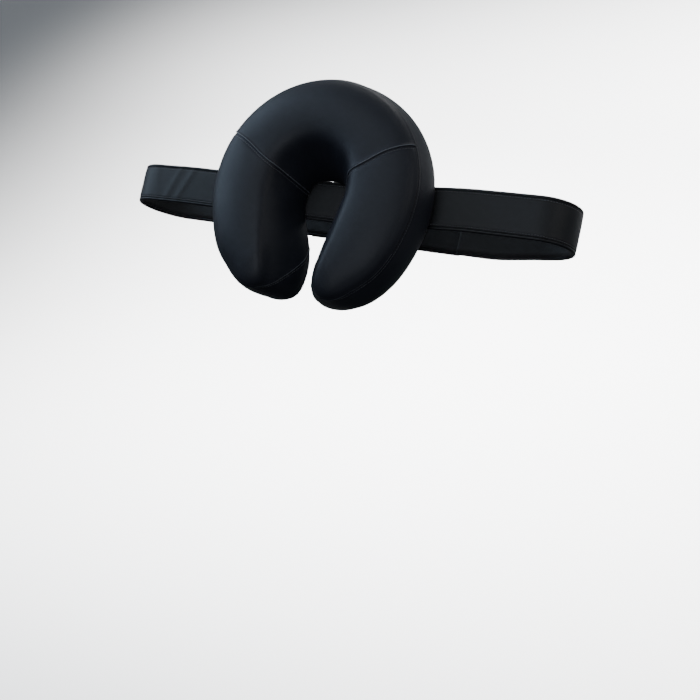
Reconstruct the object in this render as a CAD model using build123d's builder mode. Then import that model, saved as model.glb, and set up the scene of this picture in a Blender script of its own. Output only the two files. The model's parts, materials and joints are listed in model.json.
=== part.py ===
from build123d import *
import math
import os

os.makedirs("parts", exist_ok=True)

# Face cushion on a strap that wraps round a chair or table backrest.
# X runs across the backrest, +Z up along it and -Y out of it towards the face.
# The origin is on the backrest's front face, at the middle of the cushion and of the strap's height.

# backrest outline that the strap is wrapped round
BACKREST_LEFT = 372.0
BACKREST_RIGHT = 354.5
BACKREST_D = 100.0
EDGE_R = BACKREST_D / 2
EDGE_LEFT = EDGE_R - BACKREST_LEFT
EDGE_RIGHT = BACKREST_RIGHT - EDGE_R

# strap
STRAP_H = 62.0
STRAP_T = 5.0
LINING_T = 1.2
STRAP_FACE_T = 1.2
WELT_D = STRAP_T
LAYER_H = STRAP_H - 2 * WELT_D
HOOK_T = 1.2
HOOK_IN = 52.0
HOOK_OUT = 140.0
HOOK_H = 46.0

# rear closure: the underlap ends at UNDER_END, the other end at OVER_END
UNDER_END = 95.0
OVER_END = 180.0
ANCHOR_IN = 192.0
ANCHOR_OUT = 218.0
FOLD_X = 187.0
FLAP_ROOT = 183.0
FLAP_TIP = -70.0
FLAP_T = 4.5
FLAP_LAYER_T = 1.0
PATCH_T = 1.2
PATCH_H = 44.0
PATCH_GAP = 0.3
TAB_L = 30.0
TAB_W = 30.0
TAB_T = 1.6
BINDING_W = 3.0

# cushion, heights measured out of the backrest
GAP = 0.3
BASE_W = STRAP_T + HOOK_T + GAP
BASE_T = 1.5
SEAM_W = 68.7
CROWN_W = 88.7
SPLIT_W = 42.0
SKIN_T = 1.6
FOAM_EASE = 0.3
TAPE_EASE = 0.1

# outline of the top seam: a circle that swells at the two lower corners
SEAM_R = 157.0
CORNER_SWELL = 11.0
CORNER_AT = 143.0
CORNER_SPREAD = 26.0
OUTER_DEGREES = (0, 24, 48, 72, 96, 116, 132, 146)
RIDGE_IN = 40.0

# right arm's tip and the face opening, from the tip up to the middle of the forehead
INNER_BASE = ((48, -159), (17, -148), (7.5, -120), (8.5, -92), (20, -55), (35, -5), (27, 21), (0, 30))
INNER_SEAM = ((63, -155), (43, -147), (38, -122), (45, -88), (52, -45), (57, 0), (45, 40), (0, 61))
INNER_RIDGE = ((64, -109), (58, -103), (57, -90), (62, -68), (70, -33), (77, 2), (62, 57), (0, 86))

# side wall: height, swell beyond the seam outline, share of the way from base to seam on the inside
WALL = ((BASE_W, 5.0, 0.0), (22.0, 10.5, 0.1), (46.0, 8.0, 0.5), (SEAM_W, 0.0, 1.0))
CROWN_DEGREES = (0, 24, 48, 70, 90)

# panel seams between forehead and cheeks
PANEL_SEAM_OUT = (142.0, 71.0)
PANEL_SEAM_IN = (38.0, 12.0)

# zip across the base, under the forehead
ZIP_Z = 96.0
ZIP_L = 160.0
ZIP_SLOT = 7.0
TAPE_T = 0.8
TAPE_W = 13.0
TEETH_W = 1.9
TEETH_GAP = 1.2
TEETH_T = 1.5
STOP_L = 3.0
SLIDER_L = 11.0
SLIDER_W = 8.0
SLIDER_T = 1.2
WEB_T = 0.6
LUG_L = 6.0
LUG_H = 3.0
LUG_T = 2.0
LUG_HOLE_D = 2.0
PULL_L = 24.0
PULL_W = 7.0
PULL_T = 1.2
PULL_EYE_L = 4.4
PULL_EYE_W = 3.0


def out(height):
    """Sketch plane parallel to the backrest, this far out of it."""
    return Plane.XZ.offset(height)


def seam_radius(deg):
    return SEAM_R + CORNER_SWELL * math.exp(-(((deg - CORNER_AT) / CORNER_SPREAD) ** 2))


def polar(radius, deg):
    return (radius * math.sin(math.radians(deg)), radius * math.cos(math.radians(deg)))


def between(a, b, share):
    return tuple((p[0] + (q[0] - p[0]) * share, p[1] + (q[1] - p[1]) * share) for p, q in zip(a, b))


def closed_outline(right_half, inset):
    """Whole horseshoe from its right half, moved inwards by inset."""
    left_half = [(-x, z) for x, z in reversed(right_half[1:-1])]
    points = list(right_half) + left_half
    moved = []
    for i, (x, z) in enumerate(points):
        before = points[i - 1]
        after = points[(i + 1) % len(points)]
        dx = after[0] - before[0]
        dz = after[1] - before[1]
        size = math.hypot(dx, dz)
        moved.append((x + inset * dz / size, z - inset * dx / size))
    return moved


def wall_half(swell, share):
    outer = [polar(seam_radius(d) + swell, d) for d in OUTER_DEGREES]
    return outer + list(between(INNER_BASE, INNER_SEAM, share))


def crown_half(share):
    outer = [polar(seam_radius(d) - RIDGE_IN * share, d) for d in OUTER_DEGREES]
    return outer + list(between(INNER_SEAM, INNER_RIDGE, share))


def horseshoe(skin, base):
    """Cushion shape, this much inside its outer surface, from this base height up."""
    with BuildPart() as body:
        for height, swell, share in WALL:
            level = base if height == BASE_W else height
            points = closed_outline(wall_half(swell, share), skin)
            with BuildSketch(out(level)):
                with BuildLine():
                    Spline(*points, periodic=True)
                make_face()
        loft()
        for deg in CROWN_DEGREES:
            turn = math.radians(deg)
            level = SEAM_W + (CROWN_W - SEAM_W) * math.sin(turn) - skin * math.sin(turn)
            points = closed_outline(crown_half(1 - math.cos(turn)), skin * math.cos(turn))
            with BuildSketch(out(level)):
                with BuildLine():
                    Spline(*points, periodic=True)
                make_face()
        loft()
    return body.part


# ---------------------------------------------------------------- cushion

outer_shape = horseshoe(0.0, BASE_W)
lining_shape = horseshoe(SKIN_T, BASE_W + BASE_T)
foam_shape = horseshoe(SKIN_T + FOAM_EASE, BASE_W + BASE_T + TAPE_EASE)

with BuildPart() as shell:
    add(outer_shape)
    add(lining_shape, mode=Mode.SUBTRACT)
    split(bisect_by=out(BASE_W + BASE_T), keep=Keep.TOP)

# plan area inside the arms' middle line, where the top panels run down to the base
with BuildPart() as inner_zone:
    with BuildSketch(out(0)):
        with BuildLine():
            right = ((60, -200), (60, -128), (85, -60), (98, 20), (78, 78), (0, 101))
            left = tuple((-x, z) for x, z in reversed(right[:-1]))
            Polyline(*right, *left, close=True)
        make_face()
    extrude(amount=SEAM_W)

with BuildPart() as outer_zone:
    with BuildSketch(out(0)):
        Rectangle(400, 400)
    extrude(amount=SEAM_W)
    add(inner_zone.part, mode=Mode.SUBTRACT)

# the boxing runs out round each tip, sloping from the seam's height down to the base
with BuildPart() as tip_zone:
    with BuildSketch(Plane.YZ):
        with BuildLine():
            Polyline((-BASE_W, -84), (-SEAM_W, -156), (-SEAM_W, -200), (-BASE_W, -200), close=True)
        make_face()
    extrude(amount=60, both=True)

with BuildPart() as boxing_zone:
    add(outer_zone.part)
    add(tip_zone.part)

with BuildPart() as boxing_band:
    add(shell.part)
    add(boxing_zone.part, mode=Mode.INTERSECT)

with BuildPart() as top_cover:
    add(shell.part)
    add(boxing_zone.part, mode=Mode.SUBTRACT)

seam_dx = PANEL_SEAM_OUT[0] - PANEL_SEAM_IN[0]
seam_dz = PANEL_SEAM_OUT[1] - PANEL_SEAM_IN[1]
crossing = PANEL_SEAM_IN[1] - PANEL_SEAM_IN[0] * seam_dz / seam_dx
seam_far = crossing + 200 * seam_dz / seam_dx

with BuildPart() as forehead_zone:
    with BuildSketch(out(0)):
        with BuildLine():
            Polyline((0, crossing), (200, seam_far), (200, 250), (-200, 250), (-200, seam_far), close=True)
        make_face()
    extrude(amount=100)

with BuildPart() as forehead_panel:
    add(top_cover.part)
    add(forehead_zone.part, mode=Mode.INTERSECT)

with BuildPart() as cheek_panels:
    add(top_cover.part)
    add(forehead_zone.part, mode=Mode.SUBTRACT)

with BuildPart() as cheek_panel_right:
    add(cheek_panels.part)
    split(bisect_by=Plane.YZ, keep=Keep.TOP)

with BuildPart() as cheek_panel_left:
    add(cheek_panels.part)
    split(bisect_by=Plane.YZ, keep=Keep.BOTTOM)

tape_w0 = BASE_W + BASE_T
pocket_t = TAPE_T + GAP + SLIDER_T + GAP

with BuildPart() as support_foam:
    add(foam_shape)
    split(bisect_by=out(SPLIT_W), keep=Keep.BOTTOM)
    with BuildSketch(out(tape_w0)):
        with Locations((0, ZIP_Z)):
            Rectangle(ZIP_L + 24, 2 * TAPE_W + 4)
    extrude(amount=pocket_t, mode=Mode.SUBTRACT)

with BuildPart() as comfort_foam:
    add(foam_shape)
    split(bisect_by=out(SPLIT_W), keep=Keep.TOP)

with BuildPart() as base_panel:
    add(outer_shape)
    split(bisect_by=out(BASE_W + BASE_T), keep=Keep.BOTTOM)
    with BuildSketch(out(BASE_W)):
        with Locations((0, ZIP_Z)):
            SlotOverall(ZIP_L + 10, ZIP_SLOT)
    extrude(amount=BASE_T, mode=Mode.SUBTRACT)

# ---------------------------------------------------------------- zip


def zip_side(sign, width, thick, height, from_middle):
    """One long bar beside the zip's middle line."""
    middle = ZIP_Z + sign * (from_middle + width / 2)
    with BuildPart() as bar:
        with BuildSketch(out(height)):
            with Locations((0, middle)):
                Rectangle(ZIP_L, width)
        extrude(amount=thick)
    return bar.part


teeth_w0 = tape_w0 - TEETH_T

with BuildPart() as zip_tape_upper:
    add(zip_side(1, TAPE_W, TAPE_T, tape_w0, TEETH_GAP / 2))

with BuildPart() as zip_tape_lower:
    add(zip_side(-1, TAPE_W, TAPE_T, tape_w0, TEETH_GAP / 2))

with BuildPart() as zip_teeth_upper:
    add(zip_side(1, TEETH_W, TEETH_T, teeth_w0, TEETH_GAP / 2))

with BuildPart() as zip_teeth_lower:
    add(zip_side(-1, TEETH_W, TEETH_T, teeth_w0, TEETH_GAP / 2))

with BuildPart() as zip_stops:
    with BuildSketch(out(teeth_w0 - 0.4)):
        with Locations((-ZIP_L / 2 - STOP_L / 2, ZIP_Z), (ZIP_L / 2 + STOP_L / 2, ZIP_Z)):
            RectangleRounded(STOP_L, 2 * TEETH_W + TEETH_GAP, 0.8)
    extrude(amount=TEETH_T + 0.4)

slider_x = -ZIP_L / 2 + SLIDER_L / 2 + 2
top_w1 = teeth_w0 - GAP
top_w0 = top_w1 - SLIDER_T
under_w0 = tape_w0 + TAPE_T + GAP
hinge_x = slider_x - 1.0
hinge_w = top_w0 - LUG_H / 2 + 0.2

with BuildPart() as zip_slider:
    with BuildSketch(out(top_w0)):
        with Locations((slider_x, ZIP_Z)):
            RectangleRounded(SLIDER_L, SLIDER_W, 2.5)
    extrude(amount=SLIDER_T)
    with BuildSketch(out(under_w0)):
        with Locations((slider_x, ZIP_Z)):
            RectangleRounded(SLIDER_L, SLIDER_W, 2.5)
    extrude(amount=SLIDER_T)
    with BuildSketch(out(top_w1 - 0.2)):
        with Locations((slider_x, ZIP_Z)):
            Rectangle(SLIDER_L - 5, WEB_T)
    extrude(amount=under_w0 - top_w1 + 0.4)
    with BuildSketch(Plane.XY.offset(ZIP_Z - LUG_T / 2)):
        with Locations((hinge_x, -top_w0 + LUG_H / 2)):
            Rectangle(LUG_L, LUG_H)
        with Locations((hinge_x, -hinge_w)):
            Circle(LUG_HOLE_D / 2, mode=Mode.SUBTRACT)
    extrude(amount=LUG_T)

with BuildPart() as zip_pull:
    with BuildSketch(out(hinge_w - PULL_T / 2)):
        with Locations((hinge_x + PULL_L / 2, ZIP_Z)):
            Rectangle(PULL_L, PULL_W)
        with Locations((hinge_x + PULL_EYE_L / 2, ZIP_Z)):
            Rectangle(PULL_EYE_L, PULL_EYE_W, mode=Mode.SUBTRACT)
        with Locations((hinge_x + PULL_L - 5.0, ZIP_Z)):
            SlotOverall(6.0, 2.6, mode=Mode.SUBTRACT)
    extrude(amount=PULL_T)
    far_edges = zip_pull.edges().filter_by(Axis.Y).sort_by(Axis.X)[-2:]
    fillet(far_edges, radius=2.4)
    with BuildSketch(Plane.XY.offset(ZIP_Z - PULL_W / 2)):
        with Locations((hinge_x, -hinge_w)):
            Circle(PULL_T / 2)
    extrude(amount=PULL_W)

# ---------------------------------------------------------------- strap


def loop_outline(grow):
    """Closed run round the backrest, this far off its surface."""
    r = EDGE_R + grow
    Line((EDGE_LEFT, -grow), (EDGE_RIGHT, -grow))
    CenterArc((EDGE_RIGHT, EDGE_R), r, -90, 180)
    Line((EDGE_RIGHT, BACKREST_D + grow), (EDGE_LEFT, BACKREST_D + grow))
    CenterArc((EDGE_LEFT, EDGE_R), r, 90, 180)


def loop_layer(start, stop):
    """Layer of the strap between two distances from the backrest, open at the closure."""
    with BuildPart() as layer:
        with BuildSketch(Plane.XY.offset(-LAYER_H / 2)):
            with BuildLine():
                loop_outline(stop)
            make_face()
            with BuildLine():
                loop_outline(start)
            make_face(mode=Mode.SUBTRACT)
        extrude(amount=LAYER_H)
        with Locations(((UNDER_END + OVER_END) / 2, BACKREST_D, 0)):
            Box(OVER_END - UNDER_END, 30, STRAP_H, mode=Mode.SUBTRACT)
    return layer.part


def loop_welt(side):
    """Round welt along one long edge of the strap."""
    height = side * (LAYER_H / 2 + WELT_D / 2)
    with BuildPart() as welt:
        with BuildLine(Plane.XY.offset(height)) as path:
            loop_outline(WELT_D / 2)
        with BuildSketch(Plane(origin=(0, -WELT_D / 2, height), x_dir=(0, 1, 0), z_dir=(1, 0, 0))):
            Circle(WELT_D / 2)
        sweep(path=path.wire())
        with Locations(((UNDER_END + OVER_END) / 2, BACKREST_D, height)):
            Box(OVER_END - UNDER_END, 30, 2 * WELT_D, mode=Mode.SUBTRACT)
    return welt.part


with BuildPart() as strap_lining:
    add(loop_layer(0, LINING_T))

with BuildPart() as strap_core:
    add(loop_layer(LINING_T, STRAP_T - STRAP_FACE_T))

with BuildPart() as strap_face:
    add(loop_layer(STRAP_T - STRAP_FACE_T, STRAP_T))

with BuildPart() as strap_welt_upper:
    add(loop_welt(1))

with BuildPart() as strap_welt_lower:
    add(loop_welt(-1))

with BuildPart() as strap_hook_pads:
    with BuildSketch(out(STRAP_T)):
        with Locations(((HOOK_IN + HOOK_OUT) / 2, 0), (-(HOOK_IN + HOOK_OUT) / 2, 0)):
            RectangleRounded(HOOK_OUT - HOOK_IN, HOOK_H, 4)
    extrude(amount=HOOK_T)

rear = BACKREST_D + STRAP_T


def rear_block(x0, x1, y0, y1, height, corner=0.0):
    """Flat piece on the strap's rear run."""
    with BuildPart() as block:
        with BuildSketch(Plane.XZ.offset(-y1)):
            with Locations(((x0 + x1) / 2, 0)):
                if corner:
                    RectangleRounded(x1 - x0, height, corner)
                else:
                    Rectangle(x1 - x0, height)
        extrude(amount=y1 - y0)
    return block.part


with BuildPart() as closure_loop_patch:
    add(rear_block(-170, UNDER_END - 5, rear, rear + PATCH_T, PATCH_H, 3))

with BuildPart() as strap_end_binding:
    add(rear_block(UNDER_END, UNDER_END + BINDING_W, BACKREST_D, rear, STRAP_H))

flap_in = rear + 2 * PATCH_T + PATCH_GAP
flap_out = flap_in + FLAP_T

with BuildPart() as flap_anchor:
    add(rear_block(ANCHOR_IN, ANCHOR_OUT, rear, flap_out, LAYER_H, 3))

with BuildPart() as flap_lining:
    add(rear_block(FLAP_TIP, FLAP_ROOT, flap_in, flap_in + FLAP_LAYER_T, LAYER_H))

with BuildPart() as flap_core:
    add(rear_block(FLAP_TIP, FLAP_ROOT, flap_in + FLAP_LAYER_T, flap_out - FLAP_LAYER_T, LAYER_H))

with BuildPart() as flap_face:
    add(rear_block(FLAP_TIP, FLAP_ROOT, flap_out - FLAP_LAYER_T, flap_out, LAYER_H))

with BuildPart() as flap_hook_patch:
    add(rear_block(FLAP_TIP + 8, FLAP_TIP + 138, flap_in - PATCH_T, flap_in, PATCH_H, 3))

flap_mid = (flap_in + flap_out) / 2


def flap_welt(side):
    """Round welt along one long edge of the flap."""
    with BuildPart() as welt:
        middle = side * (LAYER_H + FLAP_T) / 2
        with BuildSketch(Plane.YZ.offset(FLAP_TIP)):
            with Locations((flap_mid, middle)):
                Circle(FLAP_T / 2)
        extrude(amount=FLAP_ROOT - FLAP_TIP)
    return welt.part


with BuildPart() as flap_welt_upper:
    add(flap_welt(1))

with BuildPart() as flap_welt_lower:
    add(flap_welt(-1))

with BuildPart() as flap_end_binding:
    add(rear_block(FLAP_TIP - BINDING_W, FLAP_TIP, flap_in, flap_out, LAYER_H + 2 * FLAP_T))

tab_end = FLAP_TIP - BINDING_W
with BuildPart() as pull_tab:
    add(rear_block(tab_end - TAB_L, tab_end, flap_mid - TAB_T / 2, flap_mid + TAB_T / 2, TAB_W, 6))

# rolled fold that the flap bends round, held to the anchor by its inner layer
with BuildPart() as flap_fold:
    add(rear_block(FOLD_X, ANCHOR_IN, flap_in, flap_in + FLAP_LAYER_T, LAYER_H))
    with BuildSketch(Plane.XY.offset(-LAYER_H / 2)):
        with Locations((FOLD_X, flap_mid)):
            Circle(FLAP_T / 2)
    extrude(amount=LAYER_H)

pieces = {
    "support_foam": support_foam,
    "comfort_foam": comfort_foam,
    "forehead_panel": forehead_panel,
    "cheek_panel_left": cheek_panel_left,
    "cheek_panel_right": cheek_panel_right,
    "boxing_band": boxing_band,
    "base_panel": base_panel,
    "zip_tape_upper": zip_tape_upper,
    "zip_tape_lower": zip_tape_lower,
    "zip_teeth_upper": zip_teeth_upper,
    "zip_teeth_lower": zip_teeth_lower,
    "zip_stops": zip_stops,
    "zip_slider": zip_slider,
    "zip_pull": zip_pull,
    "strap_lining": strap_lining,
    "strap_core": strap_core,
    "strap_face": strap_face,
    "strap_welt_upper": strap_welt_upper,
    "strap_welt_lower": strap_welt_lower,
    "strap_hook_pads": strap_hook_pads,
    "strap_end_binding": strap_end_binding,
    "closure_loop_patch": closure_loop_patch,
    "flap_anchor": flap_anchor,
    "flap_fold": flap_fold,
    "flap_lining": flap_lining,
    "flap_core": flap_core,
    "flap_face": flap_face,
    "flap_welt_upper": flap_welt_upper,
    "flap_welt_lower": flap_welt_lower,
    "flap_hook_patch": flap_hook_patch,
    "flap_end_binding": flap_end_binding,
    "pull_tab": pull_tab,
}

for name, piece in pieces.items():
    piece.part.label = name
    export_step(piece.part, f"parts/{name}.step")
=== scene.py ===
import json
import math

import bmesh
import bpy
import numpy as np
from mathutils import Matrix, Vector
from mathutils.bvhtree import BVHTree
from mathutils.kdtree import KDTree


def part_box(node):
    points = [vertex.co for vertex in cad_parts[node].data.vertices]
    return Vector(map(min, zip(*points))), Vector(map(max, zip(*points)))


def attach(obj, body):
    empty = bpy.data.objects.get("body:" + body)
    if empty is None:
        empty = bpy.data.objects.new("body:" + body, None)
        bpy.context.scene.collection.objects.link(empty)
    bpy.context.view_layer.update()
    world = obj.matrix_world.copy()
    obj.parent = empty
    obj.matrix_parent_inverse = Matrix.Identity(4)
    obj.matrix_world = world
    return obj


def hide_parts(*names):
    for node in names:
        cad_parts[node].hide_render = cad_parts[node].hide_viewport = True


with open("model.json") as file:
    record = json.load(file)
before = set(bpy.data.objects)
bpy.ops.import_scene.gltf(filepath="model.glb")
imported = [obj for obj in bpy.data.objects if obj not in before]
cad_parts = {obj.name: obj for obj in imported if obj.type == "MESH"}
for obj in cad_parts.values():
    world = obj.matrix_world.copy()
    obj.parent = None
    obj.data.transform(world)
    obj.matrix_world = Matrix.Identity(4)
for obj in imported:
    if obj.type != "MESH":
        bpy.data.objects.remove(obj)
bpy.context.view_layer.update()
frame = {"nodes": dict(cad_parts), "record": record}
nodes = frame["nodes"]
MM = 0.001

# ------------------------------------------------------------ materials


def material(name, colour, rough, metallic=0.0):
    """A principled material and its node tree's handles."""
    made = bpy.data.materials.new(name)
    made.use_nodes = True
    tree = made.node_tree
    shader = tree.nodes["Principled BSDF"]
    shader.inputs["Base Color"].default_value = (*colour, 1)
    shader.inputs["Roughness"].default_value = rough
    shader.inputs["Metallic"].default_value = metallic
    return made, tree, shader


def node(tree, kind, inputs=(), **settings):
    made = tree.nodes.new(kind)
    for key, value in settings.items():
        setattr(made, key, value)
    for key, value in dict(inputs).items():
        made.inputs[key].default_value = value
    return made


def ramp_between(tree, source, low, high, out_low, out_high):
    """Maps source from low..high to out_low..out_high."""
    made = node(tree, "ShaderNodeMapRange", {1: low, 2: high, 3: out_low, 4: out_high})
    tree.links.new(source, made.inputs[0])
    return made.outputs[0]


def colour_between(tree, share, a, b):
    made = node(tree, "ShaderNodeMix", data_type="RGBA")
    made.inputs[6].default_value = (*a, 1)
    made.inputs[7].default_value = (*b, 1)
    tree.links.new(share, made.inputs[0])
    return made.outputs[2]


def leather(name, colour, light, rough, grain=0.00012, cell=760.0):
    """Fine-grained PU leather: pebbled bump, soft cloudy sheen and slightly worn raised spots."""
    made, tree, shader = material(name, colour, rough)
    place = node(tree, "ShaderNodeTexCoord").outputs["Object"]
    warp = node(tree, "ShaderNodeTexNoise", {"Scale": 240.0, "Detail": 3.0})
    tree.links.new(place, warp.inputs["Vector"])
    push = node(tree, "ShaderNodeVectorMath", {1: (0.0022, 0.0022, 0.0022)}, operation="MULTIPLY_ADD")
    tree.links.new(warp.outputs["Color"], push.inputs[0])
    tree.links.new(place, push.inputs[2])
    cells = node(tree, "ShaderNodeTexVoronoi", {"Scale": cell}, feature="DISTANCE_TO_EDGE")
    tree.links.new(push.outputs[0], cells.inputs["Vector"])
    pebble = ramp_between(tree, cells.outputs["Distance"], 0.0, 0.35, 0.0, 1.0)
    fine = node(tree, "ShaderNodeTexNoise", {"Scale": 1500.0, "Detail": 4.0, "Roughness": 0.65})
    tree.links.new(place, fine.inputs["Vector"])
    height = node(tree, "ShaderNodeMath", {1: 0.45}, operation="MULTIPLY_ADD")
    tree.links.new(fine.outputs["Fac"], height.inputs[0])
    tree.links.new(pebble, height.inputs[2])
    cloud = node(tree, "ShaderNodeTexNoise", {"Scale": 14.0, "Detail": 5.0, "Roughness": 0.6})
    tree.links.new(place, cloud.inputs["Vector"])
    soft = ramp_between(tree, cloud.outputs["Fac"], 0.3, 0.7, 0.0, 1.0)
    tree.links.new(colour_between(tree, soft, colour, light), shader.inputs["Base Color"])
    low = node(tree, "ShaderNodeMath", {1: 0.09, 2: rough - 0.045}, operation="MULTIPLY_ADD")
    tree.links.new(soft, low.inputs[0])
    crease = node(tree, "ShaderNodeMath", {1: -0.05}, operation="MULTIPLY_ADD")
    tree.links.new(pebble, crease.inputs[0])
    tree.links.new(low.outputs[0], crease.inputs[2])
    tree.links.new(crease.outputs[0], shader.inputs["Roughness"])
    bump = node(tree, "ShaderNodeBump", {"Strength": 0.55, "Distance": grain})
    tree.links.new(height.outputs[0], bump.inputs["Height"])
    tree.links.new(bump.outputs[0], shader.inputs["Normal"])
    shader.inputs["Specular IOR Level"].default_value = 0.25
    shader.inputs["Coat Weight"].default_value = 0.03
    shader.inputs["Coat Roughness"].default_value = 0.25
    return made


def cloth(name, colour, light, rough, scale, depth, fuzzy=False):
    """Woven tape, or brushed cloth where fuzzy."""
    made, tree, shader = material(name, colour, rough)
    place = node(tree, "ShaderNodeTexCoord").outputs["Object"]
    if fuzzy:
        weave = node(tree, "ShaderNodeTexNoise", {"Scale": scale, "Detail": 6.0, "Roughness": 0.75})
        tree.links.new(place, weave.inputs["Vector"])
        height = weave.outputs["Fac"]
    else:
        runs = []
        for axis in ("X", "Z"):
            run = node(
                tree,
                "ShaderNodeTexWave",
                {"Scale": scale, "Distortion": 0.6, "Detail": 1.0, "Detail Scale": 3.0},
                bands_direction=axis,
            )
            tree.links.new(place, run.inputs["Vector"])
            runs.append(run.outputs["Fac"])
        both = node(tree, "ShaderNodeMath", operation="MULTIPLY")
        tree.links.new(runs[0], both.inputs[0])
        tree.links.new(runs[1], both.inputs[1])
        height = both.outputs[0]
    share = ramp_between(tree, height, 0.2, 0.8, 0.0, 1.0)
    tree.links.new(colour_between(tree, share, colour, light), shader.inputs["Base Color"])
    dull = ramp_between(tree, height, 0.0, 1.0, rough, rough - 0.12)
    tree.links.new(dull, shader.inputs["Roughness"])
    bump = node(tree, "ShaderNodeBump", {"Strength": 0.8, "Distance": depth})
    tree.links.new(height, bump.inputs["Height"])
    tree.links.new(bump.outputs[0], shader.inputs["Normal"])
    shader.inputs["Sheen Weight"].default_value = 0.25
    shader.inputs["Sheen Roughness"].default_value = 0.5
    return made


def enamel(name, colour):
    made, tree, shader = material(name, colour, 0.35, 0.6)
    place = node(tree, "ShaderNodeTexCoord").outputs["Object"]
    scuff = node(tree, "ShaderNodeTexNoise", {"Scale": 420.0, "Detail": 6.0})
    tree.links.new(place, scuff.inputs["Vector"])
    worn = ramp_between(tree, scuff.outputs["Fac"], 0.3, 0.75, 0.28, 0.5)
    tree.links.new(worn, shader.inputs["Roughness"])
    bare = ramp_between(tree, scuff.outputs["Fac"], 0.66, 0.8, 0.0, 1.0)
    tree.links.new(colour_between(tree, bare, colour, (0.12, 0.12, 0.125)), shader.inputs["Base Color"])
    bump = node(tree, "ShaderNodeBump", {"Strength": 0.25, "Distance": 0.00005})
    tree.links.new(scuff.outputs["Fac"], bump.inputs["Height"])
    tree.links.new(bump.outputs[0], shader.inputs["Normal"])
    return made


FOAM = cloth("foam", (0.42, 0.40, 0.33), (0.55, 0.53, 0.46), 0.95, 900.0, 0.0006, fuzzy=True)
FELT = cloth("padding_felt", (0.03, 0.03, 0.033), (0.07, 0.07, 0.075), 0.95, 600.0, 0.0005, fuzzy=True)
VINYL = leather("cushion_vinyl", (0.0098, 0.0108, 0.0158), (0.0140, 0.0152, 0.0215), 0.50)
STRAP_VINYL = leather(
    "strap_vinyl", (0.0105, 0.0107, 0.0122), (0.0145, 0.0147, 0.0165), 0.50, 0.0001, 900.0
)
WELT_VINYL = leather(
    "welt_vinyl", (0.0065, 0.0068, 0.0082), (0.0105, 0.011, 0.013), 0.42, 0.00008, 900.0
)
# Painted seam shadow: a near-black vinyl for the roll laid in the outer seam's groove, standing for the
# groove's shade.
SEAM_SHADOW_VINYL = leather(
    "painted_seam_shadow", (0.0008, 0.0008, 0.001), (0.0016, 0.0016, 0.002), 0.75, 0.00005, 900.0
)
# Painted highlight: a vinyl far lighter than the cover's, for the fine rolls on the folded seam edges,
# standing for the light those edges catch.
EDGE_HIGHLIGHT_VINYL = leather(
    "painted_edge_highlight", (0.070, 0.077, 0.090), (0.115, 0.125, 0.142), 0.40, 0.00005, 900.0
)
THREAD = cloth("thread", (0.05, 0.053, 0.06), (0.12, 0.126, 0.14), 0.5, 900.0, 0.00008)
WEBBING = cloth("webbing", (0.008, 0.008, 0.009), (0.018, 0.018, 0.02), 0.75, 190.0, 0.00025)
LOOP = cloth(
    "loop_cloth", (0.009, 0.009, 0.010), (0.024, 0.024, 0.027), 0.88, 700.0, 0.0005, fuzzy=True
)
HOOK = cloth("hook_tape", (0.006, 0.006, 0.007), (0.02, 0.02, 0.021), 0.6, 420.0, 0.0005)
PLASTIC = cloth(
    "zip_plastic", (0.008, 0.008, 0.009), (0.014, 0.014, 0.015), 0.45, 300.0, 0.00004, fuzzy=True
)
ENAMEL = enamel("zip_metal", (0.012, 0.012, 0.013))

# ------------------------------------------------------------ cushion shape, mm

BASE_W = 6.5
SEAM_W = 68.7
CROWN_W = 88.7
SEAM_R = 157.0
RIDGE_IN = 40.0
OUTER_DEGREES = np.radians((0, 24, 48, 72, 96, 116, 132, 146))
INNER_BASE = ((48, -159), (17, -148), (7.5, -120), (8.5, -92), (20, -55), (35, -5), (27, 21), (0, 30))
INNER_SEAM = ((63, -155), (43, -147), (38, -122), (45, -88), (52, -45), (57, 0), (45, 40), (0, 61))
INNER_RIDGE = ((64, -109), (58, -103), (57, -90), (62, -68), (70, -33), (77, 2), (62, 57), (0, 86))
WALL = np.array(((6.5, 5.0, 0.0), (22.0, 10.5, 0.1), (46.0, 8.0, 0.5), (68.7, 0.0, 1.0)))
DOME = 1.0
DOME_SPAN = 40.0

# places round the right half of the outline, counted in control points
TIP_OUT = 8.0
TIP_IN = 9.0
HALF = 15.0
SEAM_OUT = 2.65
SEAM_IN = 13.5
NEAR_SEAM = 0.13
GRADING = 1.45

swell_fit = np.polyfit(WALL[:, 0], WALL[:, 1], 3)
share_fit = np.polyfit(WALL[:, 0], WALL[:, 2], 3)
seam_radii = SEAM_R + 11.0 * np.exp(-(((np.degrees(OUTER_DEGREES) - 143.0) / 26.0) ** 2))


def control_points(level):
    """The whole outline's control points and height at a level: 0 base, 1 seam, 2 ridge."""
    if level <= 1:
        height = BASE_W + (SEAM_W - BASE_W) * level
        radii = seam_radii + np.polyval(swell_fit, height)
        share = np.polyval(share_fit, height)
        low, high = np.array(INNER_BASE, float), np.array(INNER_SEAM, float)
    else:
        turn = (level - 1) * math.pi / 2
        height = SEAM_W + (CROWN_W - SEAM_W) * math.sin(turn)
        share = 1 - math.cos(turn)
        radii = seam_radii - RIDGE_IN * share
        low, high = np.array(INNER_SEAM, float), np.array(INNER_RIDGE, float)
    outer = np.stack([radii * np.sin(OUTER_DEGREES), radii * np.cos(OUTER_DEGREES)], 1)
    right = np.vstack([outer, low + (high - low) * share])
    left = right[-2:0:-1] * (-1, 1)
    return np.vstack([right, left]), height


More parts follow.
